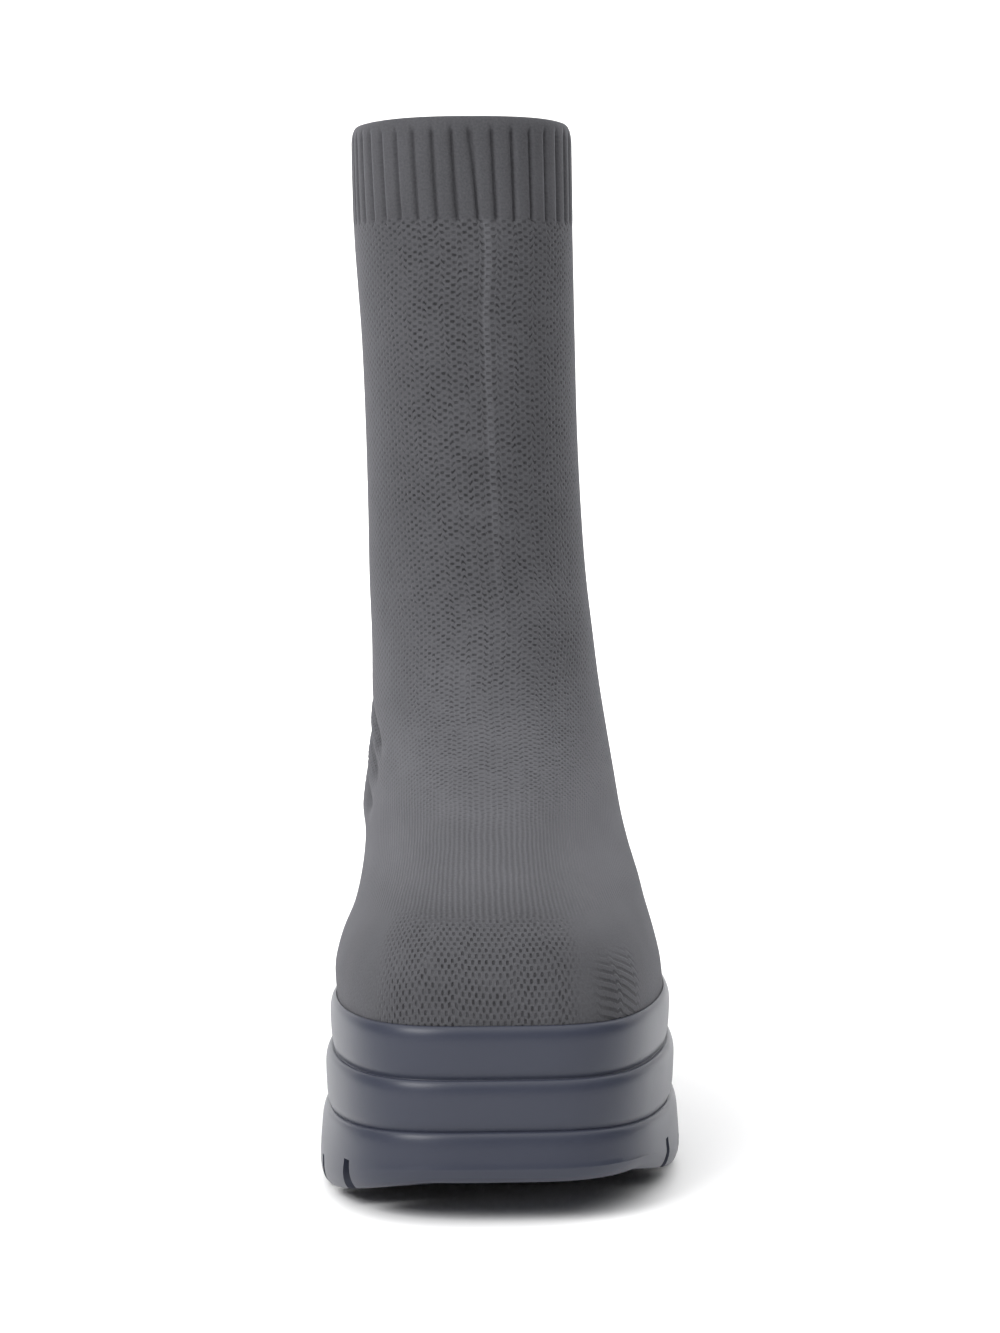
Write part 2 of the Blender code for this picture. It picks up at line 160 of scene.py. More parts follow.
# The side of a tier from its foot to its shoulder: how far in, at which line, how far above
# it, all as shares of the shoulder's radius. The shoulder is a soft bead, proud of the side.
SIDE_COLUMNS = ("inset", "line", "rise")
MIDSOLE_SIDE = (
    (0.62, 0, -0.25),
    (0.52, 0, 0.12),
    (0.34, 0, 0.50),
    (0.22, 0, 1.10),
    (0.14, 0, 1.90),
    (0.04, 1, -2.60),
    (0.02, 1, -1.75),
    (0.10, 1, -1.10),
    (0.26, 1, -0.60),
    (0.50, 1, -0.22),
    (0.80, 1, -0.05),
)
OUTSOLE_SIDE = (
    (1.00, 0, 0.00),
    (0.80, 0, 0.10),
    (0.36, 0, 0.62),
    (0.00, 0, 1.92),
    (0.12, 1, -4.50),
    (0.28, 1, -2.60),
    (0.36, 1, -1.60),
    (0.50, 1, -0.85),
    (0.70, 1, -0.35),
    (0.98, 1, -0.10),
    (1.30, 1, -0.02),
)

# How far the two mouldings tuck in where they meet, and how far the midsole sinks below the
# line there, as shares of the shoulder's radius.
MIDSOLE_TUCK = 0.80
MIDSOLE_SINK = 0.35
OUTSOLE_TUCK = 0.90

# The rings that close a sole's face, as shares of the way from its middle line to its edge, the
# columns round each sole, and how far the edges of the notches and grooves are rounded.
FACE_SHARES = (0.0, 0.3, 0.6, 0.85)
SOLE_COLUMNS = 144
EDGE_ROUNDING = 0.0005

# The top and the foot of a notch and of a groove, as shares of its width.
NOTCH_TOP, NOTCH_FOOT = 0.7, 1.7
GROOVE_TOP, GROOVE_FOOT = 0.8, 1.2

# Columns of one rib as shares of its width, how deep the groove is at each, and how far from
# the middle of the front the first groove lies.
RIB_SHARES = (0.00, 0.07, 0.13, 0.32, 0.68, 0.87, 0.93)
RIB_DEPTHS = (1.00, 0.86, 0.14, -0.06, -0.06, 0.14, 0.86)
FIRST_GROOVE = 0.00135

# The grooves start at the cuff's foot and end below the rim, and are deepest on the outer side.
GROOVE_START = (CUFF_FOOT - 0.0006, CUFF_FOOT + 0.0018)
GROOVE_END = (BOOT_HEIGHT - 0.0012, BOOT_HEIGHT - 0.0042)
GROOVE_SWAY = 0.20

# The ribs lean to the inner side going up, by this much at the front and more or less beside
# it, and the knit below the cuff leans with them over this height.
RIB_SLANT = math.radians(1.9)
SIDE_SLANT = math.radians(2.2)
SLANT_FADE = 0.030

# The rim is rolled over in rows at these turns, and stands higher at the front and back.
RIM_HEIGHT = 0.0050
RIM_TURNS = (0, 20, 40, 60, 76, 90)
RIM_LIFT = 0.0006
RIM_WAVE = 0.0008
RIM_TURN = 0.15

# The upper's rows: their distance, those at the cuff's foot, and how near another may come.
ROW_STEP = 0.0018
CUFF_ROWS = (-0.0008, 0.0, 0.0008, 0.0017)
ROW_CLEARANCE = 0.0006

# Where the knit changes: where each kind starts and is full, by the way down from the rim.
SHAFT_KNIT = (0.0310, 0.0345)
VAMP_KNIT = (0.222, 0.266)
TOE_KNIT = (0.303, 0.313)
CORNER_KNIT = (0.319, 0.330)

# The patterns of the knit: the line down the front on which each is strongest, how far beside
# it the pattern starts to fade and has faded, what is left of it there, how deep its stitches
# are and how dark.
PATTERN_COLUMNS = ("middle", "near", "far", "left", "deep", "dark")
PATTERNS = {
    "pits": (0.0040, 0.022, 0.046, 0.45, 1.00, 0.70),
    "holes": (-0.0075, 0.022, 0.033, 0.00, 1.50, 0.66),
    "ribs": (-0.0060, 0.014, 0.050, 0.30, 0.55, 0.40),
    "courses": (0.0390, 0.006, 0.015, 0.00, 0.70, 0.40),
}

# The raised line down the front: where it lies, and how far beside it it fades and has faded.
SEAM_MIDDLE, SEAM_NEAR, SEAM_FAR = 0.0032, 0.0004, 0.0016

# How deep the stitches are drawn and how far the yarn wanders, then how deep a fold is where
# its painted shade is full and how dark that painted shade is, and the distance of the insole's
# threads.
STITCH_DEPTH = 0.00038
YARN_DRIFT = 0.0011
CREASE_DEPTH = 0.0016
CREASE_SHADE = 0.40
THREAD_PITCH = 0.0012

# The paper: its width, its depth up to the bend, the strips of the bend and the wall above.
PAPER_WIDTH = 12
PAPER_DEPTH = 8
PAPER_BACK = 3
BEND_STRIPS = 12
BEND_STRIP = 0.2
PAPER_WALL = 5

# The lamps: where each stands, what it points at, and its width and height. Their powers are
# the studio's settings of the same names.
LAMPS = (
    ("key", (-1.15, -1.15, 1.25), (0, -0.03, 0.12), (1.2, 0.9)),
    ("top", (0, -0.15, 1.60), (0, -0.10, 0), (1.4, 1.4)),
    ("fill", (0.70, -1.50, 1.40), (0, -0.10, 0.05), (0.9, 0.9)),
    ("rim", (1.10, 0.55, 0.75), (0, 0, 0.15), (0.5, 1.0)),
    ("sweep", (0, 1.3, 2.0), (0, 3.4, 0.6), (2.0, 1.0)),
)

# The camera stands where the photograph was taken from, worked out from the lines of the sole.
CAMERA_SPOT = (-0.07356, -1.1762, 0.2450)
CAMERA_AIM = (0.0032, 0.0, 0.1433)


def linear(colour):
    """A hex colour as linear red, green, blue and alpha."""
    parts = [int(colour[i:i + 2], 16) / 255 for i in (1, 3, 5)]
    return (*(c / 12.92 if c <= 0.04045 else ((c + 0.055) / 1.055) ** 2.4 for c in parts), 1.0)


class KnitSettings(bpy.types.PropertyGroup):
    """The knitted upper."""

    colour: bpy.props.FloatVectorProperty(
        name="Yarn", description="Colour of the yarn", subtype="COLOR", size=3,
        default=linear("#444447")[:3])
    ribs: bpy.props.IntProperty(
        name="Ribs", description="Ribs round the cuff", default=42, min=8)
    groove_depth: bpy.props.FloatProperty(
        name="Groove depth", description="Depth of the grooves between the ribs",
        default=0.0017, unit="LENGTH")
    wale: bpy.props.FloatProperty(
        name="Wale", description="Distance between columns of stitches", default=0.00178,
        unit="LENGTH")
    course: bpy.props.FloatProperty(
        name="Course", description="Distance between the holes of one column", default=0.0023,
        unit="LENGTH")
    mesh: bpy.props.FloatProperty(
        name="Mesh", description="Distance between the holes over the toes", default=0.0019,
        unit="LENGTH")
    wall: bpy.props.FloatProperty(
        name="Wall", description="Thickness of the knit", default=0.0022, unit="LENGTH")
    cuff_wall: bpy.props.FloatProperty(
        name="Cuff wall", description="Thickness of the doubled cuff", default=0.0036,
        unit="LENGTH")


class SoleSettings(bpy.types.PropertyGroup):
    """The platform and the insole."""

    colour: bpy.props.FloatVectorProperty(
        name="Foam", description="Colour of the moulded platform", subtype="COLOR", size=3,
        default=linear("#313440")[:3])
    roughness: bpy.props.FloatProperty(
        name="Roughness", description="Roughness of the moulded skin", default=0.36,
        subtype="FACTOR", min=0, max=1)
    shoulder: bpy.props.FloatProperty(
        name="Shoulder", description="Radius of the tiers' shoulders", default=0.0024,
        unit="LENGTH")
    cloth: bpy.props.FloatVectorProperty(
        name="Insole cloth", description="Colour of the insole", subtype="COLOR", size=3,
        default=linear("#454549")[:3])


class StudioSettings(bpy.types.PropertyGroup):
    """The floor, the lamps and the camera."""

    floor: bpy.props.FloatVectorProperty(
        name="Floor", description="Colour of the floor", subtype="COLOR", size=3,
        default=linear("#f7f7f7")[:3])
    key: bpy.props.FloatProperty(
        name="Key", description="Power of the large lamp in front, to the left",
        default=29.0, unit="POWER")
    fill: bpy.props.FloatProperty(
        name="Fill", description="Power of the lamp in front, to the right",
        default=1.0, unit="POWER")
    top: bpy.props.FloatProperty(
        name="Top", description="Power of the lamp overhead",
        default=2.0, unit="POWER")
    rim: bpy.props.FloatProperty(
        name="Rim", description="Power of the lamp behind, to the right",
        default=2.0, unit="POWER")
    sweep: bpy.props.FloatProperty(
        name="Sweep", description="Power of the lamp on the paper behind",
        default=90.0, unit="POWER")
    sky: bpy.props.FloatProperty(
        name="Sky", description="Strength of the even light from the sides", default=0.22)
    ceiling: bpy.props.FloatProperty(
        name="Ceiling", description="Strength of the even light from above", default=1.9)
    shade: bpy.props.FloatProperty(
        name="Shade", description="How much weaker the even light is from the right",
        default=0.90, subtype="FACTOR", min=0, max=1)
    lens: bpy.props.FloatProperty(
        name="Lens", description="Focal length in millimetres", default=104.2)


def smooth(places, values, at):
    """A smooth curve through the values, level at both ends."""
    places, values = np.asarray(places, float), np.asarray(values, float)
    slopes = np.zeros(len(values))
    slopes[1:-1] = (values[2:] - values[:-2]) / (places[2:] - places[:-2])
    at = np.clip(at, places[0], places[-1])
    k = np.clip(np.searchsorted(places, at, side="right") - 1, 0, len(places) - 2)
    span = places[k + 1] - places[k]
    t = (at - places[k]) / span
    return ((1 + 2 * t) * (1 - t) ** 2 * values[k] + t * (1 - t) ** 2 * span * slopes[k]
            + t * t * (3 - 2 * t) * values[k + 1] - t * t * (1 - t) * span * slopes[k + 1])


def rise(start, end, at):
    """0 before the start and 1 after the end, with a soft rise between them."""
    t = np.clip((at - start) / (end - start), 0, 1)
    return t * t * (3 - 2 * t)


def level(y, height, toe_rise=0.0, heel_rise=0.0):
    """The height of a line along the platform, which lifts at the toe and at the heel."""
    spring = np.clip((BALL_Y - y) / (BALL_Y - TOE_Y), 0, 1.1) ** 2
    return height + toe_rise * spring + heel_rise * rise(BALL_Y, HEEL_SEAT_Y, y)


def bed(x, y):
    """The floor of the midsole's tray."""
    return level(y, BED_HEIGHT, 0.35 * TOE_SPRING, BED_HEEL_RISE)


def lip(x, y):
    """The top of the platform, where the upper comes out of it."""
    return level(y, LIP_HEIGHT, 0.10 * TOE_SPRING, LIP_HEEL_RISE)


def upper_step(x, y):
    """The line between the two tiers of the midsole."""
    return level(y, UPPER_STEP, 0.11 * TOE_SPRING, 0.6 * LIP_HEEL_RISE)


def lower_step(x, y):
    """The line between the midsole and the outsole."""
    return level(y, LOWER_STEP, 0.32 * TOE_SPRING, 0.3 * LIP_HEEL_RISE)


def ground(x, y):
    """The tread, which leaves the floor along a slanted line at the ball."""
    start = rise(WAIST_START_Y, WAIST_START_Y + WAIST_RAMP, y)
    end = rise(WAIST_END_Y, WAIST_END_Y - WAIST_RAMP, y)
    slanted = y - BREAK_SLANT * (x + BALL_WIDTH / 2)
    return level(slanted, 0.0, TOE_SPRING) + WAIST_LIFT * start * end


def above(line, by):
    """A line moved up by a distance."""
    return lambda x, y: line(x, y) + by


def foot_section(row):
    """A foot section in metres: ends, half widths at the stations, and its middle line."""
    share = dict(zip(FOOT_COLUMNS, row))
    front_y, back_y = -share["front"] * UPPER_LENGTH, share["back"] * UPPER_LENGTH
    return [front_y, back_y, lip(0, front_y) + share["front_up"] * INSTEP_HEIGHT,
            lip(0, back_y) + share["back_up"] * INSTEP_HEIGHT, share["toe"] * BALL_WIDTH / 2,
            share["ball"] * BALL_WIDTH / 2, share["waist"] * HEEL_WIDTH / 2,
            share["heel"] * HEEL_WIDTH / 2, share["nose"], share["tail"],
            -TOE_SWING * rise(0.3, 0.75, share["front"]), -share["bulge"] * TOE_SWING,
            share["swing"] * HEEL_SWING]


def shaft_section(row):
    """A shaft section in metres, with the same entries as a foot section."""
    share = dict(zip(SHAFT_COLUMNS, row))
    instep = lip(0, 0) + INSTEP_HEIGHT
    width = share["width"] * SHAFT_WIDTH / 2
    middle = share["lean"] * SHAFT_LEAN
    return [-share["front"] * SHAFT_DEPTH / 2, share["back"] * SHAFT_DEPTH / 2,
            instep + share["front_up"] * (BOOT_HEIGHT - instep),
            instep + share["back_up"] * (BOOT_HEIGHT - instep),
            width, width, width, width, share["nose"], share["tail"], middle, 0.0, middle]


SECTIONS = np.array([foot_section(row) for row in FOOT_SECTIONS]
                    + [shaft_section(row) for row in SHAFT_SECTIONS])
COLLAR = len(SECTIONS) - 1


def section_at(place):
    """The section at a place between the table's rows, counted from the lip up."""
    rows = np.arange(len(SECTIONS))
    return [float(smooth(rows, column, place)) for column in SECTIONS.T]


def ring(place, turn):
    """The points round the section at a place. Turn 0 is the front, and it grows outwards."""
    section = section_at(place)
    front_y, back_y, front_z, back_z, *widths, nose, tail, nose_x, bulge, tail_x = section
    along = -np.cos(turn)
    outer = np.sin(turn) >= 0
    power = np.where(along < 0, nose, tail)
    end = np.clip(1 - np.abs(along) ** power, 0, 1) ** (1 / power)
    outer_half, inner_half = (smooth(places, widths, along)
                              for places in (OUTER_PLACES, INNER_PLACES))
    ball_x = nose_x + 0.7 * (tail_x - nose_x) + bulge
    middle = smooth(CENTRE_PLACES, (nose_x, ball_x, tail_x, tail_x), along)
    x = middle + end * np.where(outer, outer_half, -inner_half)
    y = (front_y + back_y) / 2 + along * (back_y - front_y) / 2
    z = front_z + (back_z - front_z) * (along + 1) / 2
    z = z + max(0.0, 1 - place) ** 2 * (lip(x, y) - z)
    return np.column_stack([x, y, z])


def around(count):
    """Turns once round from the back, over the inner side, the front and the outer side."""
    return np.linspace(-math.pi, math.pi, count + 1)


def grown(points, by, height_of=None):
    """A closed ring moved outwards by a distance, at its own height or at that of a line."""
    loop = points[:-1]
    way = np.roll(loop, -1, axis=0) - np.roll(loop, 1, axis=0)
    out = np.column_stack([way[:, 1], -way[:, 0], np.zeros(len(way))])
    out /= np.linalg.norm(out, axis=1)[:, None]
    moved = loop + out * np.broadcast_to(np.asarray(by, float), points.shape[:1])[:-1, None]
    moved = np.vstack([moved, moved[:1]])
    if height_of is not None:
        moved[:, 2] = height_of(moved[:, 0], moved[:, 1])
    return moved


def sole_ring(footprint, out, height_of):
    """A ring of the platform, that far outside the upper, with the waist filled out."""
    y = footprint[:, 1]
    heel_side = rise(HEEL_SEAT_Y + WAIST_RAMP, HEEL_SEAT_Y - 1.5 * WAIST_RAMP, y)
    fill = rise(BALL_Y, BALL_Y / 3, y) * heel_side
    share = min(out / LOWER_TIER_OUT, 1.0)
    return grown(footprint, out + WAIST_FILL * share * fill, height_of)


def side_rings(footprint, table, out, foot, head, radius):
    """The rings up the side of a tier that stands that far out, between two lines."""
    for row in table:
        share = dict(zip(SIDE_COLUMNS, row))
        line = above((foot, head)[share["line"]], share["rise"] * radius)
        yield sole_ring(footprint, out - share["inset"] * radius, line)


def floor_rings(edge, line, shares):
    """Rings that draw an edge together to its middle line, to close a sole's face."""
    middle = (edge + edge[::-1]) / 2
    for share in shares:
        points = middle + (edge - middle) * share
        points[:, 2] = line(points[:, 0], points[:, 1])
        yield points


def shift():
    """What takes the last's own axes to the row's: the middle of the platform's footprint."""
    turn = np.arange(72) * 2 * math.pi / 72
    widest = sole_ring(ring(0, np.append(turn, 0)), OUTSOLE_OUT, ground)
    middle = (widest.min(axis=0) + widest.max(axis=0)) / 2
    return np.array([-middle[0], -middle[1], 0])


SHIFT = shift()


def activate(piece):
    """Selects one piece and nothing else."""
    bpy.ops.object.select_all(action="DESELECT")
    piece.select_set(True)
    bpy.context.view_layer.objects.active = piece


def net(name, points, maps=()):
    """A grid primitive whose corners are put at the points and joined where its edges meet."""
    rows, columns = points.shape[:2]
    bpy.ops.object.select_all(action="DESELECT")
    bpy.ops.mesh.primitive_grid_add(x_subdivisions=columns - 1, y_subdivisions=rows - 1, size=1)
    piece = bpy.context.object
    piece.name = piece.data.name = name
    mesh = piece.data
    flat = np.empty(len(mesh.vertices) * 3)
    mesh.vertices.foreach_get("co", flat)
    flat = flat.reshape(-1, 3)
    column = np.rint((flat[:, 0] + 0.5) * (columns - 1)).astype(int)
    row = np.rint((flat[:, 1] + 0.5) * (rows - 1)).astype(int)
    mesh.vertices.foreach_set("co", (points[row, column] + SHIFT).ravel())
    corner = np.empty(len(mesh.loops), int)
    mesh.loops.foreach_get("vertex_index", corner)
    mesh.uv_layers.remove(mesh.uv_layers[0])
    for title, values in dict(maps).items():
        layer = mesh.uv_layers.new(name=title)
        layer.data.foreach_set("uv", values[row, column][corner].astype(np.float32).ravel())
    bpy.ops.object.mode_set(mode="EDIT")
    bpy.ops.mesh.select_all(action="SELECT")
    bpy.ops.mesh.remove_doubles(threshold=0.00001)
    bpy.ops.mesh.normals_make_consistent(inside=False)
    bpy.ops.object.mode_set(mode="OBJECT")
    bpy.ops.object.shade_smooth()
    return piece


def modify(piece, kind, **settings):
    """Adds a modifier with its settings and applies it."""
    activate(piece)
    made = piece.modifiers.new(kind.lower(), kind)
    for name, value in settings.items():
        setattr(made, name, value)
    bpy.ops.object.modifier_apply(modifier=made.name)


def dress(piece, material, node):
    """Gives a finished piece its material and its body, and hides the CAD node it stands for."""
    piece.data.materials.clear()
    piece.data.materials.append(material)
    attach(piece, "root")
    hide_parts(node)


def add(tree, kind, inputs=(), **settings):
    """Adds a shader node with its settings and links. A node stands for its first output."""
    made = tree.nodes.new("ShaderNode" + kind)
    for name, value in settings.items():
        setattr(made, name, value)
    for name, value in dict(inputs).items():
        if isinstance(value, bpy.types.Node):
            value = value.outputs[0]
        if isinstance(value, bpy.types.NodeSocket):
            tree.links.new(value, made.inputs[name])
        else:
            made.inputs[name].default_value = value
    return made


def new_material(name, constants):
    """An empty material with one shader, whose constant inputs are set."""
    material = bpy.data.materials.new(name)
    material.use_nodes = True
    tree = material.node_tree
    shader = tree.nodes["Principled BSDF"]
    for key, value in constants.items():
        shader.inputs[key].default_value = value
    return material, tree, shader


def knitted_polyester(knit):
    """Polyester and elastane yarn, flat knitted: matte, with a soft fuzz at grazing angles.

    Tuck stitches make staggered dark pits on the shaft and open holes on the toe. Between the
    two are plain fine ribs, and the toe's outer corner shows its courses as wavy lines.
    """
    material, tree, shader = new_material("knitted_polyester", {
        "Roughness": 0.88, "Sheen Weight": 0.16, "Sheen Roughness": 0.45,
        "Sheen Tint": linear("#c9c9d2"), "Specular IOR Level": 0.20})

    def maths(operation, a, b=0.0, c=0.0):
        return add(tree, "Math", {0: a, 1: b, 2: c}, operation=operation)

    def ramp(value, start, end, low=0.0, high=1.0):
        return add(tree, "MapRange", {"Value": value, "From Min": start, "From Max": end,
                                      "To Min": low, "To Max": high},
                   interpolation_type="SMOOTHSTEP")

    def wave(value, length):
        return maths("COSINE", maths("MULTIPLY", value, 2 * math.pi / length))

    def noise(scale, detail):
        return add(tree, "TexNoise", {"Vector": flat, "Scale": scale, "Detail": detail})

    def beside(middle, near, far, left=0.0):
        """Strong near a line down the front and weaker away from it to both sides."""
        away = maths("ABSOLUTE", maths("SUBTRACT", side, middle))
        return ramp(away, near, far, 1.0, left)

    # The yarn wanders by up to half a millimetre, so no row is ruled.
    flat = add(tree, "UVMap", uv_map="knit")
    drift = add(tree, "VectorMath", {0: noise(95.0, 2.0).outputs["Color"], 1: (0.5, 0.5, 0.5)},
                operation="SUBTRACT")
    drift = add(tree, "VectorMath", {0: drift, 1: (YARN_DRIFT, YARN_DRIFT, 0.0)},
                operation="MULTIPLY")
    spot = add(tree, "VectorMath", {0: flat, 1: drift}, operation="ADD")
    spot = add(tree, "SeparateXYZ", {0: spot})
    zone = add(tree, "SeparateXYZ", {0: add(tree, "UVMap", uv_map="zone")})
    side, down = spot.outputs["X"], spot.outputs["Y"]
    painted_crease_shade, path = zone.outputs["X"], zone.outputs["Y"]

    # Each pattern's stitches, and where it lies on the way down. The tuck stitches are pulled
    # more or less tight, in patches of about 5 mm.
    shaft, vamp, toe = (ramp(path, *ends) for ends in (SHAFT_KNIT, VAMP_KNIT, TOE_KNIT))
    patch = add(tree, "MapRange", {"Value": noise(190.0, 3.0), "From Min": 0.32,
                                   "From Max": 0.62, "To Min": 0.35, "To Max": 1.0})
    wales = wave(side, 2 * knit.wale)
    lattice = maths("MULTIPLY", wales, wave(down, knit.course))
    mesh = maths("MULTIPLY", wave(side, knit.mesh), wave(down, 2 * knit.mesh))
    stitches = {
        "pits": (ramp(lattice, -0.05, 0.80),
                 maths("MULTIPLY", maths("SUBTRACT", shaft, vamp), patch)),
        "holes": (ramp(mesh, 0.05, 0.80), maths("MULTIPLY", toe, patch)),
        "ribs": (maths("MULTIPLY", wales, wales), maths("SUBTRACT", vamp, toe)),
        "courses": (ramp(wave(down, 1.15 * knit.course), -0.2, 0.9), ramp(path, *CORNER_KNIT)),
    }
    # Painted shade: the folds at the inner ankle are drawn darker the deeper they are, and the
    # dark of each pattern's stitches is added to that.
    depth, dark = 0.0, maths("MULTIPLY", painted_crease_shade, CREASE_SHADE)
    for name, (stitch, where) in stitches.items():
        share = dict(zip(PATTERN_COLUMNS, PATTERNS[name]))
        reach = beside(share["middle"], share["near"], share["far"], share["left"])
        drawn = maths("MULTIPLY", maths("MULTIPLY", stitch, where), reach)
        depth = maths("MULTIPLY_ADD", drawn, share["deep"], depth)
        dark = maths("MULTIPLY_ADD", drawn, share["dark"], dark)

    # Single fibres are far too fine to show, so their grain is drawn at 0.7 mm.
    grain = noise(1400.0, 3.0)
    height = maths("SUBTRACT", maths("MULTIPLY", grain, 0.35), depth)
    bump = add(tree, "Bump", {"Strength": 1.0, "Distance": STITCH_DEPTH, "Height": height})
    tree.links.new(bump.outputs[0], shader.inputs["Normal"])

    # The yarn's tone: grain, clouds of about 26 mm from the dye, painted light that makes the
    # instep paler where it faces up, painted shade that makes the toe darker where it turns away,
    # the raised line down the front of the shaft, and painted shade in the folds.
    seam = maths("MULTIPLY", beside(SEAM_MIDDLE, SEAM_NEAR, SEAM_FAR), ramp(path, 0.20, 0.05))
    seam = maths("MULTIPLY", seam, shaft)
    cloud = noise(38.0, 3.0)
    light = add(tree, "MapRange", {"Value": grain, "To Min": 0.66, "To Max": 1.34})
    light = maths("ADD", light, add(tree, "MapRange", {"Value": cloud, "From Min": 0.3,
                                                       "From Max": 0.7, "To Min": -0.10,
                                                       "To Max": 0.10}))
    light = maths("MULTIPLY_ADD", shaft, 0.12, light)
    # Painted light: the instep faces up to the lamps, so the knit is drawn paler from there on
    # down.
    light = maths("MULTIPLY_ADD", ramp(path, 0.13, 0.24), 0.34, light)
    # Painted shade: the toe turns forward and down, away from the lamps, so it is drawn darker.
    light = maths("MULTIPLY_ADD", ramp(path, 0.282, 0.322), -0.40, light)
    light = maths("MULTIPLY_ADD", seam, 0.34, light)
    light = maths("SUBTRACT", light, dark)
    yarn = add(tree, "VectorMath", {0: tuple(knit.colour), "Scale": light}, operation="SCALE")
    tree.links.new(yarn.outputs[0], shader.inputs["Base Color"])
    return material


def moulded_eva(sole):
    """EVA foam with a skin from a satin mould: slate grey, with soft long highlights."""
    material, tree, shader = new_material("moulded_eva", {
        "Base Color": (*sole.colour, 1), "Specular IOR Level": 0.32})
    spot = add(tree, "TexCoord").outputs["Object"]
    # The mould's blasted texture is about 0.1 mm, drawn here at 0.6 mm so that it shows.
    grain = add(tree, "TexNoise", {"Vector": spot, "Scale": 1700.0, "Detail": 2.0})
    cloud = add(tree, "TexNoise", {"Vector": spot, "Scale": 30.0, "Detail": 3.0})
    rough = add(tree, "MapRange", {"Value": cloud, "To Min": sole.roughness - 0.05,
                                   "To Max": sole.roughness + 0.06})
    bump = add(tree, "Bump", {"Strength": 0.5, "Distance": 0.00003, "Height": grain})
    tree.links.new(rough.outputs[0], shader.inputs["Roughness"])
    tree.links.new(bump.outputs[0], shader.inputs["Normal"])
    return material


def insole_cloth(sole):
    """Woven polyester laminated to foam: a fine square weave, matte."""
    material, tree, shader = new_material("insole_cloth", {
        "Roughness": 0.9, "Sheen Weight": 0.2, "Specular IOR Level": 0.2})
    spot = add(tree, "SeparateXYZ", {0: add(tree, "TexCoord").outputs["Object"]})
    # Threads 0.4 mm apart, drawn 1.2 mm apart so that they show.
    threads = []
    for way in ("X", "Y"):
        turned = add(tree, "Math", {0: spot.outputs[way], 1: 2 * math.pi / THREAD_PITCH},
                     operation="MULTIPLY")
        threads.append(add(tree, "Math", {0: turned}, operation="COSINE"))
    weave = add(tree, "Math", dict(enumerate(threads)), operation="MULTIPLY")
    bump = add(tree, "Bump", {"Strength": 0.6, "Distance": 0.0002, "Height": weave})
    tree.links.new(bump.outputs[0], shader.inputs["Normal"])
    shade = add(tree, "MapRange", {"Value": weave, "From Min": -1.0, "To Min": 0.8,
                                   "To Max": 1.15})
    cloth = add(tree, "VectorMath", {0: tuple(sole.cloth), "Scale": shade}, operation="SCALE")
    tree.links.new(cloth.outputs[0], shader.inputs["Base Color"])
    return material


def rib_columns(knit):
    """The turns of the upper's columns, evenly spaced ribs round the cuff, and their depths."""
    fine = around(2000)
    edge = ring(COLLAR - 0.5, fine)
    run = np.append(0, np.cumsum(np.linalg.norm(np.diff(edge, axis=0), axis=1)))
    run -= np.interp(0, fine, run)
    pitch = (run[-1] - run[0]) / knit.ribs
    starts = FIRST_GROOVE + (np.arange(knit.ribs) - knit.ribs // 2) * pitch
    at = (starts[:, None] + np.array(RIB_SHARES) * pitch).ravel()
    at = np.append(at, at[0] + knit.ribs * pitch)
    depth = np.append(np.tile(RIB_DEPTHS, knit.ribs), RIB_DEPTHS[0])
    reach = np.concatenate([run[:-1] - (run[-1] - run[0]), run, run[1:] + (run[-1] - run[0])])
    turns = np.concatenate([fine[:-1] - 2 * math.pi, fine, fine[1:] + 2 * math.pi])
    return np.interp(at, reach, turns), depth


def upper_places():
    """The places of the upper's rows from the lip to the rim, with more rows at the cuff."""
    fine = np.linspace(0, COLLAR, 500)
    few = 16
    nets = np.array([ring(place, around(few)) for place in fine])
    run = np.linalg.norm(np.diff(nets, axis=0), axis=2).mean(axis=1)
    run = np.append(0, np.cumsum(run))
    heights = nets[:, few // 2, 2]
    foot = [CUFF_FOOT + by for by in CUFF_ROWS]
    rim = [BOOT_HEIGHT - RIM_HEIGHT * (1 - math.sin(math.radians(t))) for t in RIM_TURNS]
    foot, rim = ([np.interp(z, heights, fine) for z in some] for some in (foot, rim))
    marks = np.interp(foot + rim, fine, run)
    plain = np.interp(np.arange(0, run[-1], ROW_STEP), run, fine)
    keep = [p for p in plain if p < rim[0]
            and np.abs(np.interp(p, fine, run) - marks).min() > ROW_CLEARANCE]
    return np.array(sorted(keep + foot) + rim)


def normals(points):
    """The outward directions of a closed net of rows, each from its back round to its back."""
    up = np.gradient(points, axis=0)
    loop = points[:, :-1]
    along = np.roll(loop, -1, axis=1) - np.roll(loop, 1, axis=1)
    along = np.concatenate([along, along[:, :1]], axis=1)
    out = np.cross(along, up)
    return out / np.linalg.norm(out, axis=2)[:, :, None]


def folds(points):
    """How far the knit is drawn in by the folds at the inner ankle."""
    y, z = points[..., 1] / MM, points[..., 2] / MM
    total = np.zeros(y.shape)
    for row in FOLDS:
        fold = dict(zip(FOLD_COLUMNS, row))
        run, climb = fold["front"] - fold["back"], fold["front_up"] - fold["back_up"]
        length = math.hypot(run, climb)
        share = ((y - fold["back"]) * run + (z - fold["back_up"]) * climb) / length ** 2
        away = ((y - fold["back"]) * climb - (z - fold["back_up"]) * run) / length
        away = away + FOLD_BOW * np.sin(np.clip(share, 0, 1) * math.pi)
        trough = np.exp(-(away / TROUGH_WIDTH) ** 2)
        ridge = RIDGE_SHARE * np.exp(-((away + RIDGE_AWAY) / RIDGE_WIDTH) ** 2)
        ends = rise(*FOLD_START, share) * rise(*FOLD_END, share)
        total += fold["deep"] * (trough - ridge) * ends
    return total * rise(*FOLD_SIDE, points[..., 0]) * MM


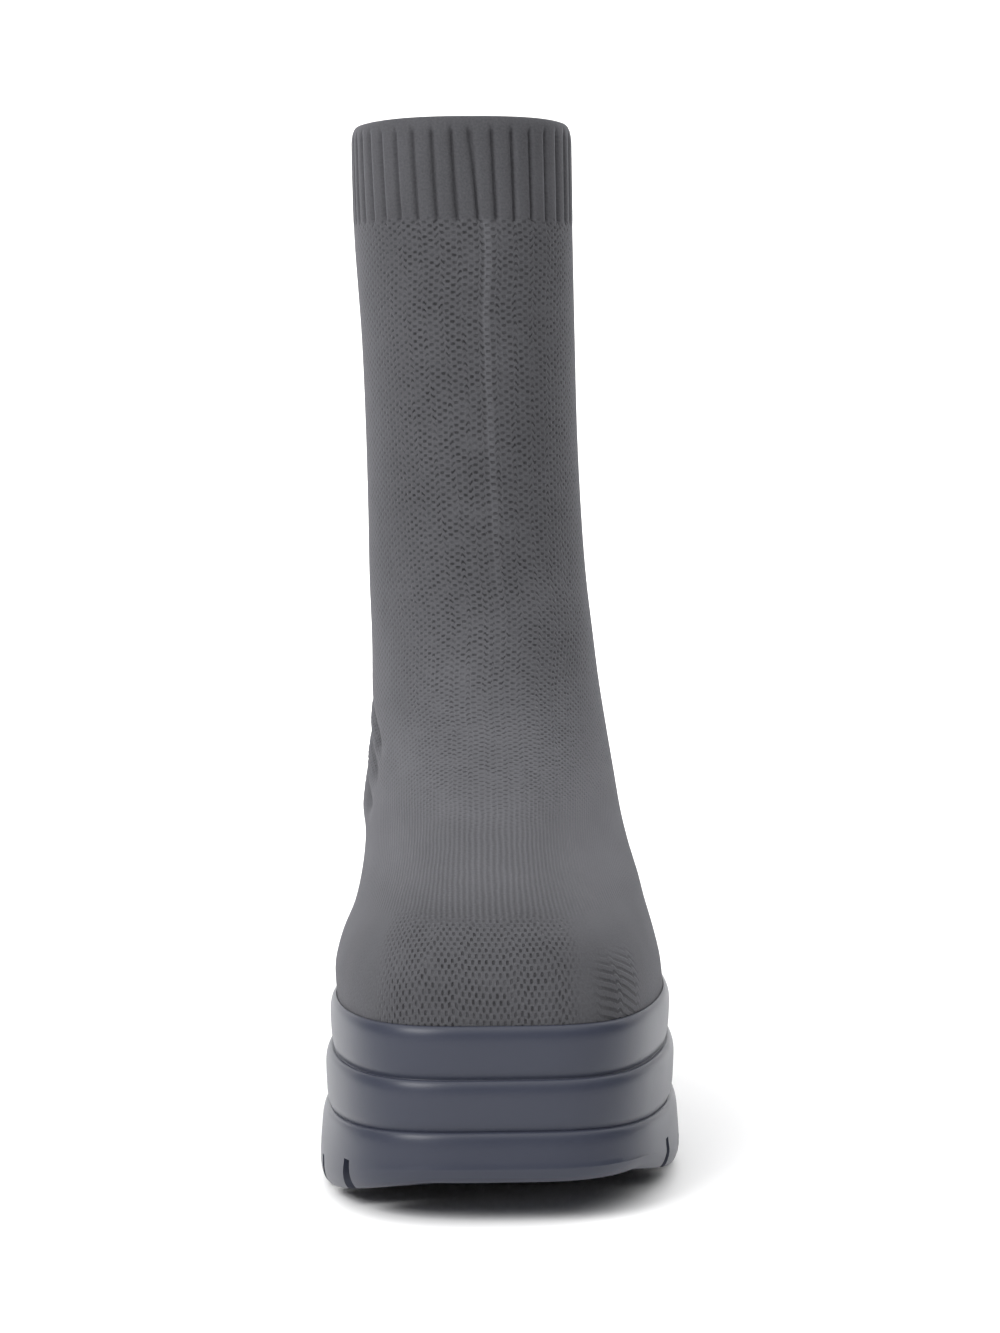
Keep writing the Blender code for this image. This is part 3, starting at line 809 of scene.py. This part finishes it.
def upper_net(knit):
    """The upper's whole skin: up the outside, over the rim, down the inside and under."""
    turns, rib = rib_columns(knit)
    places = upper_places()
    rows = []
    for place in places:
        z = float(section_at(place)[2])
        hold = rise(CUFF_FOOT - SLANT_FADE, CUFF_FOOT, z)
        slant = np.tan(RIB_SLANT - SIDE_SLANT * np.sin(turns))
        slide = slant * hold * (z - CUFF_FOOT - CUFF_HEIGHT / 2)
        reach = np.hypot(SHAFT_WIDTH / 2 * np.cos(turns), SHAFT_DEPTH / 2 * np.sin(turns))
        row = ring(place, turns - slide / reach)
        lift = RIM_LIFT + RIM_WAVE * np.cos(2 * (turns - RIM_TURN))
        row[:, 2] += lift * rise(CUFF_FOOT, BOOT_HEIGHT, z)
        rows.append(row)
    footing = [rows[0].copy() for _ in range(2)]
    for points, share in zip(footing, (0.0, 0.55)):
        low = bed(points[:, 0], points[:, 1]) + GAP
        points[:, 2] = low + share * (lip(points[:, 0], points[:, 1]) - low)
    base = np.array(footing + rows)
    out = normals(base)
    front = np.abs(turns).argmin()
    height = base[:, front, 2]
    rim = len(RIM_TURNS)
    bend = 1 - np.cos(np.radians(RIM_TURNS))
    inset = np.zeros(len(base))
    inset[-rim:] = knit.cuff_wall / 2 * bend
    groove = rise(*GROOVE_START, height) * rise(*GROOVE_END, height)
    soft = 1 - GROOVE_SWAY * (1 - np.sin(turns + 0.5))
    deep = knit.groove_depth * groove[:, None] * rib * soft
    outside = base - out * (inset[:, None] + deep + folds(base))[:, :, None]

    wall = knit.wall + (knit.cuff_wall - knit.wall) * rise(CUFF_FOOT - 0.003, CUFF_FOOT, height)
    wall[-rim:] = knit.cuff_wall - inset[-rim:]
    down = list(range(len(base) - 2, len(base) - rim - 1, -1))
    down += list(range(len(base) - rim - 2, 2, -2)) + [2, 1, 0]
    inside = (base - out * wall[:, None, None])[down]
    points = np.concatenate([outside, inside, outside[:1]])

    step = np.linalg.norm(np.diff(outside, axis=0), axis=2)
    path = np.concatenate([np.zeros((1, len(turns))), np.cumsum(step, axis=0)])
    path = path[-1] - path
    step = np.linalg.norm(np.diff(base, axis=1), axis=2)
    side = np.concatenate([np.zeros((len(base), 1)), np.cumsum(step, axis=1)], axis=1)
    side -= np.array([np.interp(0, turns, row) for row in side])[:, None]
    knit_map = np.stack([side, path], axis=2)
    # The zone map's first channel is painted shade for the folds, full where a fold is
    # CREASE_DEPTH deep; the lining gets none.
    painted_crease_shade = rise(0.0, CREASE_DEPTH, folds(base))
    zone = np.stack([painted_crease_shade, np.repeat(path[:, front:front + 1], len(turns), 1)], axis=2)
    lining = np.zeros_like(zone)
    maps = {"knit": np.concatenate([knit_map, knit_map[down], knit_map[:1]]),
            "zone": np.concatenate([zone, lining[down], lining[:1]])}
    return points, maps


def wedge(name, middle, way, length, top_width, foot_width, height):
    """A cutter: a cube drawn to its length and height, with its foot wider than its top."""
    bpy.ops.object.select_all(action="DESELECT")
    bpy.ops.mesh.primitive_cube_add(size=1)
    piece = bpy.context.object
    piece.name = name
    bpy.ops.object.mode_set(mode="EDIT")
    bpy.ops.mesh.select_all(action="DESELECT")
    bpy.ops.object.mode_set(mode="OBJECT")
    for face in piece.data.polygons:
        face.select = face.normal.z < -0.5
    bpy.ops.object.mode_set(mode="EDIT")
    bpy.ops.transform.resize(value=(1, foot_width / top_width, 1), center_override=(0, 0, 0))
    bpy.ops.object.mode_set(mode="OBJECT")
    along = Vector((way[0], way[1], 0)).normalized()
    across = Vector((-along.y, along.x, 0))
    turn = Matrix((along, across, Vector((0, 0, 1)))).transposed().to_4x4()
    size = Matrix.Diagonal((length, top_width, height, 1))
    piece.data.transform(Matrix.Translation(Vector(middle + SHIFT)) @ turn @ size)
    return piece


def notches(first, side):
    """The notches of one side: the point on the sole's edge, the way in and its length."""
    turns = around(SOLE_COLUMNS)
    edge = sole_ring(ring(0, turns), OUTSOLE_OUT, ground)
    out = grown(edge, 1.0) - edge
    half = len(edge) // 2
    flanks = (edge[half - 1:0:-1], edge[half + 1:-1])
    inwards = (-out[half - 1:0:-1], -out[half + 1:-1])
    toe, heel = edge[:, 1].min(), edge[:, 1].max()
    for y in np.arange(toe + first, heel - 0.6 * NOTCH_PITCH, NOTCH_PITCH):
        inner_x, outer_x = (np.interp(y, flank[:, 1], flank[:, 0]) for flank in flanks)
        at_x = (inner_x, outer_x)[side]
        at = np.array([at_x, y, ground(at_x, y)])
        way = np.array([np.interp(y, flanks[side][:, 1], inwards[side][:, i]) for i in range(2)])
        way = way / np.linalg.norm(way)
        yield at, np.append(way, 0), (outer_x - inner_x) / 2 / abs(way[0])


def cutters():
    """All the wedges that cut the notches in the side and the grooves in the tread."""
    made = []
    for first, side in ((FIRST_INNER_NOTCH, 0), (FIRST_OUTER_NOTCH, 1)):
        for at, way, half in notches(first, side):
            made.append(wedge("notch", at, way, 2 * NOTCH_DEPTH, NOTCH_TOP * NOTCH_WIDTH,
                              NOTCH_FOOT * NOTCH_WIDTH, 2 * NOTCH_HEIGHT))
            run = half - MIDDLE_RIB / 2 - NOTCH_DEPTH / 2
            made.append(wedge("groove", at + way * (NOTCH_DEPTH + run) / 2, way, run,
                              GROOVE_TOP * GROOVE_WIDTH, GROOVE_FOOT * GROOVE_WIDTH,
                              2 * GROOVE_HEIGHT))
    return made


class BOOT_OT_upper(bpy.types.Operator):
    """Knits the upper with its cuff, folds and lining"""

    bl_idname = "boot.upper"
    bl_label = "Knitted upper"

    def execute(self, context):
        knit = context.scene.boot_knit
        points, maps = upper_net(knit)
        piece = net("upper_knit", points, maps)
        dress(piece, knitted_polyester(knit), "upper")
        return {"FINISHED"}


class BOOT_OT_platform(bpy.types.Operator):
    """Moulds the midsole with its two tiers and the outsole with its lugs"""

    bl_idname = "boot.platform"
    bl_label = "Platform"

    def execute(self, context):
        sole = context.scene.boot_sole
        radius = sole.shoulder
        material = moulded_eva(sole)
        footprint = ring(0, around(SOLE_COLUMNS))
        tray = grown(footprint, GAP, bed)
        base = above(lower_step, -MIDSOLE_SINK * radius)
        foot = sole_ring(footprint, LOWER_TIER_OUT - MIDSOLE_TUCK * radius, base)
        rings = [
            *floor_rings(foot, base, (*FACE_SHARES, 1.0)),
            *side_rings(footprint, MIDSOLE_SIDE, LOWER_TIER_OUT, lower_step, upper_step, radius),
            *side_rings(footprint, MIDSOLE_SIDE, UPPER_TIER_OUT, upper_step, lip, radius),
            grown(footprint, GAP, above(lip, -0.12 * radius)),
            grown(footprint, GAP, above(lip, -0.9 * radius)),
            grown(footprint, GAP, above(bed, 0.6 * radius)),
            tray,
            *floor_rings(tray, bed, (0.97, *FACE_SHARES[::-1])),
        ]
        midsole = net("midsole_foam", np.array(rings))
        modify(midsole, "SUBSURF", levels=1, render_levels=1)
        dress(midsole, material, "midsole")

        top = sole_ring(footprint, LOWER_TIER_OUT - OUTSOLE_TUCK * radius,
                        above(lower_step, -0.04 * radius))
        tread = sole_ring(footprint, OUTSOLE_OUT - radius, ground)
        rings = [
            *floor_rings(tread, ground, (*FACE_SHARES, 0.97)),
            *side_rings(footprint, OUTSOLE_SIDE, OUTSOLE_OUT, ground, lower_step, radius),
            top,
            *floor_rings(top, above(lower_step, -0.25 * radius), (0.90, *FACE_SHARES[2::-1])),
        ]
        outsole = net("outsole_rubber", np.array(rings))
        modify(outsole, "SUBSURF", levels=1, render_levels=1)
        for cutter in cutters():
            modify(outsole, "BOOLEAN", operation="DIFFERENCE", object=cutter, solver="EXACT")
            bpy.data.objects.remove(cutter)
        modify(outsole, "BEVEL", width=EDGE_ROUNDING, segments=2, limit_method="ANGLE",
               angle_limit=math.radians(40))
        bpy.ops.object.shade_smooth_by_angle(angle=math.radians(35))
        dress(outsole, material, "outsole")
        return {"FINISHED"}


class BOOT_OT_insole(bpy.types.Operator):
    """Lays the insole on the floor of the platform"""

    bl_idname = "boot.insole"
    bl_label = "Insole"

    def execute(self, context):
        sole = context.scene.boot_sole
        footprint = ring(0, around(SOLE_COLUMNS))
        top = above(bed, INSOLE_THICKNESS)
        edge = grown(footprint, -INSOLE_INSET, above(bed, GAP))
        crown = grown(footprint, -INSOLE_INSET - 0.0010, top)
        rings = [
            *floor_rings(edge, above(bed, GAP), (*FACE_SHARES, 0.99, 1.0)),
            grown(footprint, -INSOLE_INSET, above(bed, 0.3 * INSOLE_THICKNESS)),
            grown(footprint, -INSOLE_INSET, above(bed, 0.7 * INSOLE_THICKNESS)),
            grown(footprint, -INSOLE_INSET - 0.0003, above(bed, 0.93 * INSOLE_THICKNESS)),
            crown,
            *floor_rings(crown, top, (0.97, *FACE_SHARES[::-1])),
        ]
        piece = net("insole_cloth", np.array(rings))
        modify(piece, "SUBSURF", levels=1, render_levels=1)
        dress(piece, insole_cloth(sole), "insole")
        return {"FINISHED"}


class BOOT_OT_studio(bpy.types.Operator):
    """Sets the floor with its sweep, the lamps and the camera"""

    bl_idname = "boot.studio"
    bl_label = "Studio"

    def lamp(self, name, spot, aim, size, power):
        """An area lamp at a spot, turned towards what it lights."""
        light = bpy.data.lights.new(name, "AREA")
        light.shape = "RECTANGLE"
        light.size, light.size_y = size
        light.energy = power
        made = bpy.data.objects.new(name, light)
        made.location = spot
        made.rotation_euler = (Vector(aim) - Vector(spot)).to_track_quat("-Z", "Y").to_euler()
        bpy.context.scene.collection.objects.link(made)

    def execute(self, context):
        studio = context.scene.boot_studio
        scene = context.scene

        # Painted paper, rolled up behind the boot in one sweep: matte, so no edge shows.
        bpy.ops.object.select_all(action="DESELECT")
        bpy.ops.mesh.primitive_plane_add(size=1)
        floor = context.object
        floor.name = "floor"
        middle = Matrix.Translation((0, PAPER_BACK - PAPER_DEPTH / 2, 0))
        floor.data.transform(middle @ Matrix.Diagonal((PAPER_WIDTH, PAPER_DEPTH, 1, 1)))
        bpy.ops.object.mode_set(mode="EDIT")
        bpy.ops.mesh.select_all(action="DESELECT")
        bpy.ops.object.mode_set(mode="OBJECT")
        for edge in floor.data.edges:
            ends = [floor.data.vertices[v].co.y for v in edge.vertices]
            edge.select = min(ends) > PAPER_BACK - BEND_STRIP
        bpy.ops.object.mode_set(mode="EDIT")
        for strip in range(BEND_STRIPS):
            angle = math.pi / 2 * (strip + 0.5) / BEND_STRIPS
            step = (0, BEND_STRIP * math.cos(angle), BEND_STRIP * math.sin(angle))
            bpy.ops.mesh.extrude_region_move(TRANSFORM_OT_translate={"value": step})
        bpy.ops.mesh.extrude_region_move(TRANSFORM_OT_translate={"value": (0, 0, PAPER_WALL)})
        bpy.ops.object.mode_set(mode="OBJECT")
        bpy.ops.object.shade_smooth()
        paper, _, _ = new_material("painted_paper", {
            "Base Color": (*studio.floor, 1), "Roughness": 0.9, "Specular IOR Level": 0.1})
        floor.data.materials.append(paper)

        for name, spot, aim, size in LAMPS:
            self.lamp(name, spot, aim, size, getattr(studio, name))

        # A bright ceiling over dim walls, darker to the right, which the camera sees as white.
        world = bpy.data.worlds.new("even_light")
        world.use_nodes = True
        tree = world.node_tree
        sky = tree.nodes["Background"]
        sky.inputs["Color"].default_value = linear("#ffffff")
        way = add(tree, "SeparateXYZ", {0: add(tree, "TexCoord").outputs["Generated"]})
        light = add(tree, "MapRange", {"Value": way.outputs["X"], "From Min": -0.7,
                                       "From Max": 0.9, "To Min": studio.sky,
                                       "To Max": studio.sky * (1 - studio.shade)},
                    interpolation_type="SMOOTHSTEP")
        above_all = add(tree, "MapRange", {"Value": way.outputs["Z"], "From Min": 0.35,
                                           "From Max": 0.85, "To Max": studio.ceiling},
                        interpolation_type="SMOOTHSTEP")
        light = add(tree, "Math", {0: light, 1: above_all}, operation="MAXIMUM")
        seen = add(tree, "LightPath").outputs["Is Camera Ray"]
        light = add(tree, "Math", {0: light, 1: seen}, operation="MAXIMUM")
        tree.links.new(light.outputs[0], sky.inputs["Strength"])
        scene.world = world
        scene.view_settings.view_transform = "Standard"

        data = bpy.data.cameras.new("camera")
        data.lens = studio.lens
        data.sensor_width = 36
        data.clip_start = 0.05
        camera = bpy.data.objects.new("camera", data)
        camera.location = CAMERA_SPOT
        gaze = Vector(CAMERA_AIM) - Vector(CAMERA_SPOT)
        camera.rotation_euler = gaze.to_track_quat("-Z", "Y").to_euler()
        scene.collection.objects.link(camera)
        scene.camera = camera
        return {"FINISHED"}


class BOOT_PT_panel(bpy.types.Panel):
    """Lists the steps and what each can change"""

    bl_label = "Sock boot"
    bl_idname = "BOOT_PT_panel"
    bl_space_type = "VIEW_3D"
    bl_region_type = "UI"
    bl_category = "Sock boot"

    def draw(self, context):
        steps = (("boot_knit", ("boot.upper",)), ("boot_sole", ("boot.platform", "boot.insole")),
                 ("boot_studio", ("boot.studio",)))
        for group, operators in steps:
            box = self.layout.box()
            settings = getattr(context.scene, group)
            for name in settings.__annotations__:
                box.prop(settings, name)
            for operator in operators:
                box.operator(operator)


CLASSES = (KnitSettings, SoleSettings, StudioSettings, BOOT_OT_upper, BOOT_OT_platform,
           BOOT_OT_insole, BOOT_OT_studio, BOOT_PT_panel)


def register():
    """Adds the classes and the scene's settings."""
    for item in CLASSES:
        bpy.utils.register_class(item)
    bpy.types.Scene.boot_knit = bpy.props.PointerProperty(type=KnitSettings)
    bpy.types.Scene.boot_sole = bpy.props.PointerProperty(type=SoleSettings)
    bpy.types.Scene.boot_studio = bpy.props.PointerProperty(type=StudioSettings)


def unregister():
    """Takes the settings and the classes away again."""
    for name in ("boot_knit", "boot_sole", "boot_studio"):
        delattr(bpy.types.Scene, name)
    for item in reversed(CLASSES):
        bpy.utils.unregister_class(item)


def main():
    """Builds every piece and the stage."""
    register()
    bpy.ops.boot.upper()
    bpy.ops.boot.platform()
    bpy.ops.boot.insole()
    bpy.ops.boot.studio()


if __name__ == "__main__":
    main()
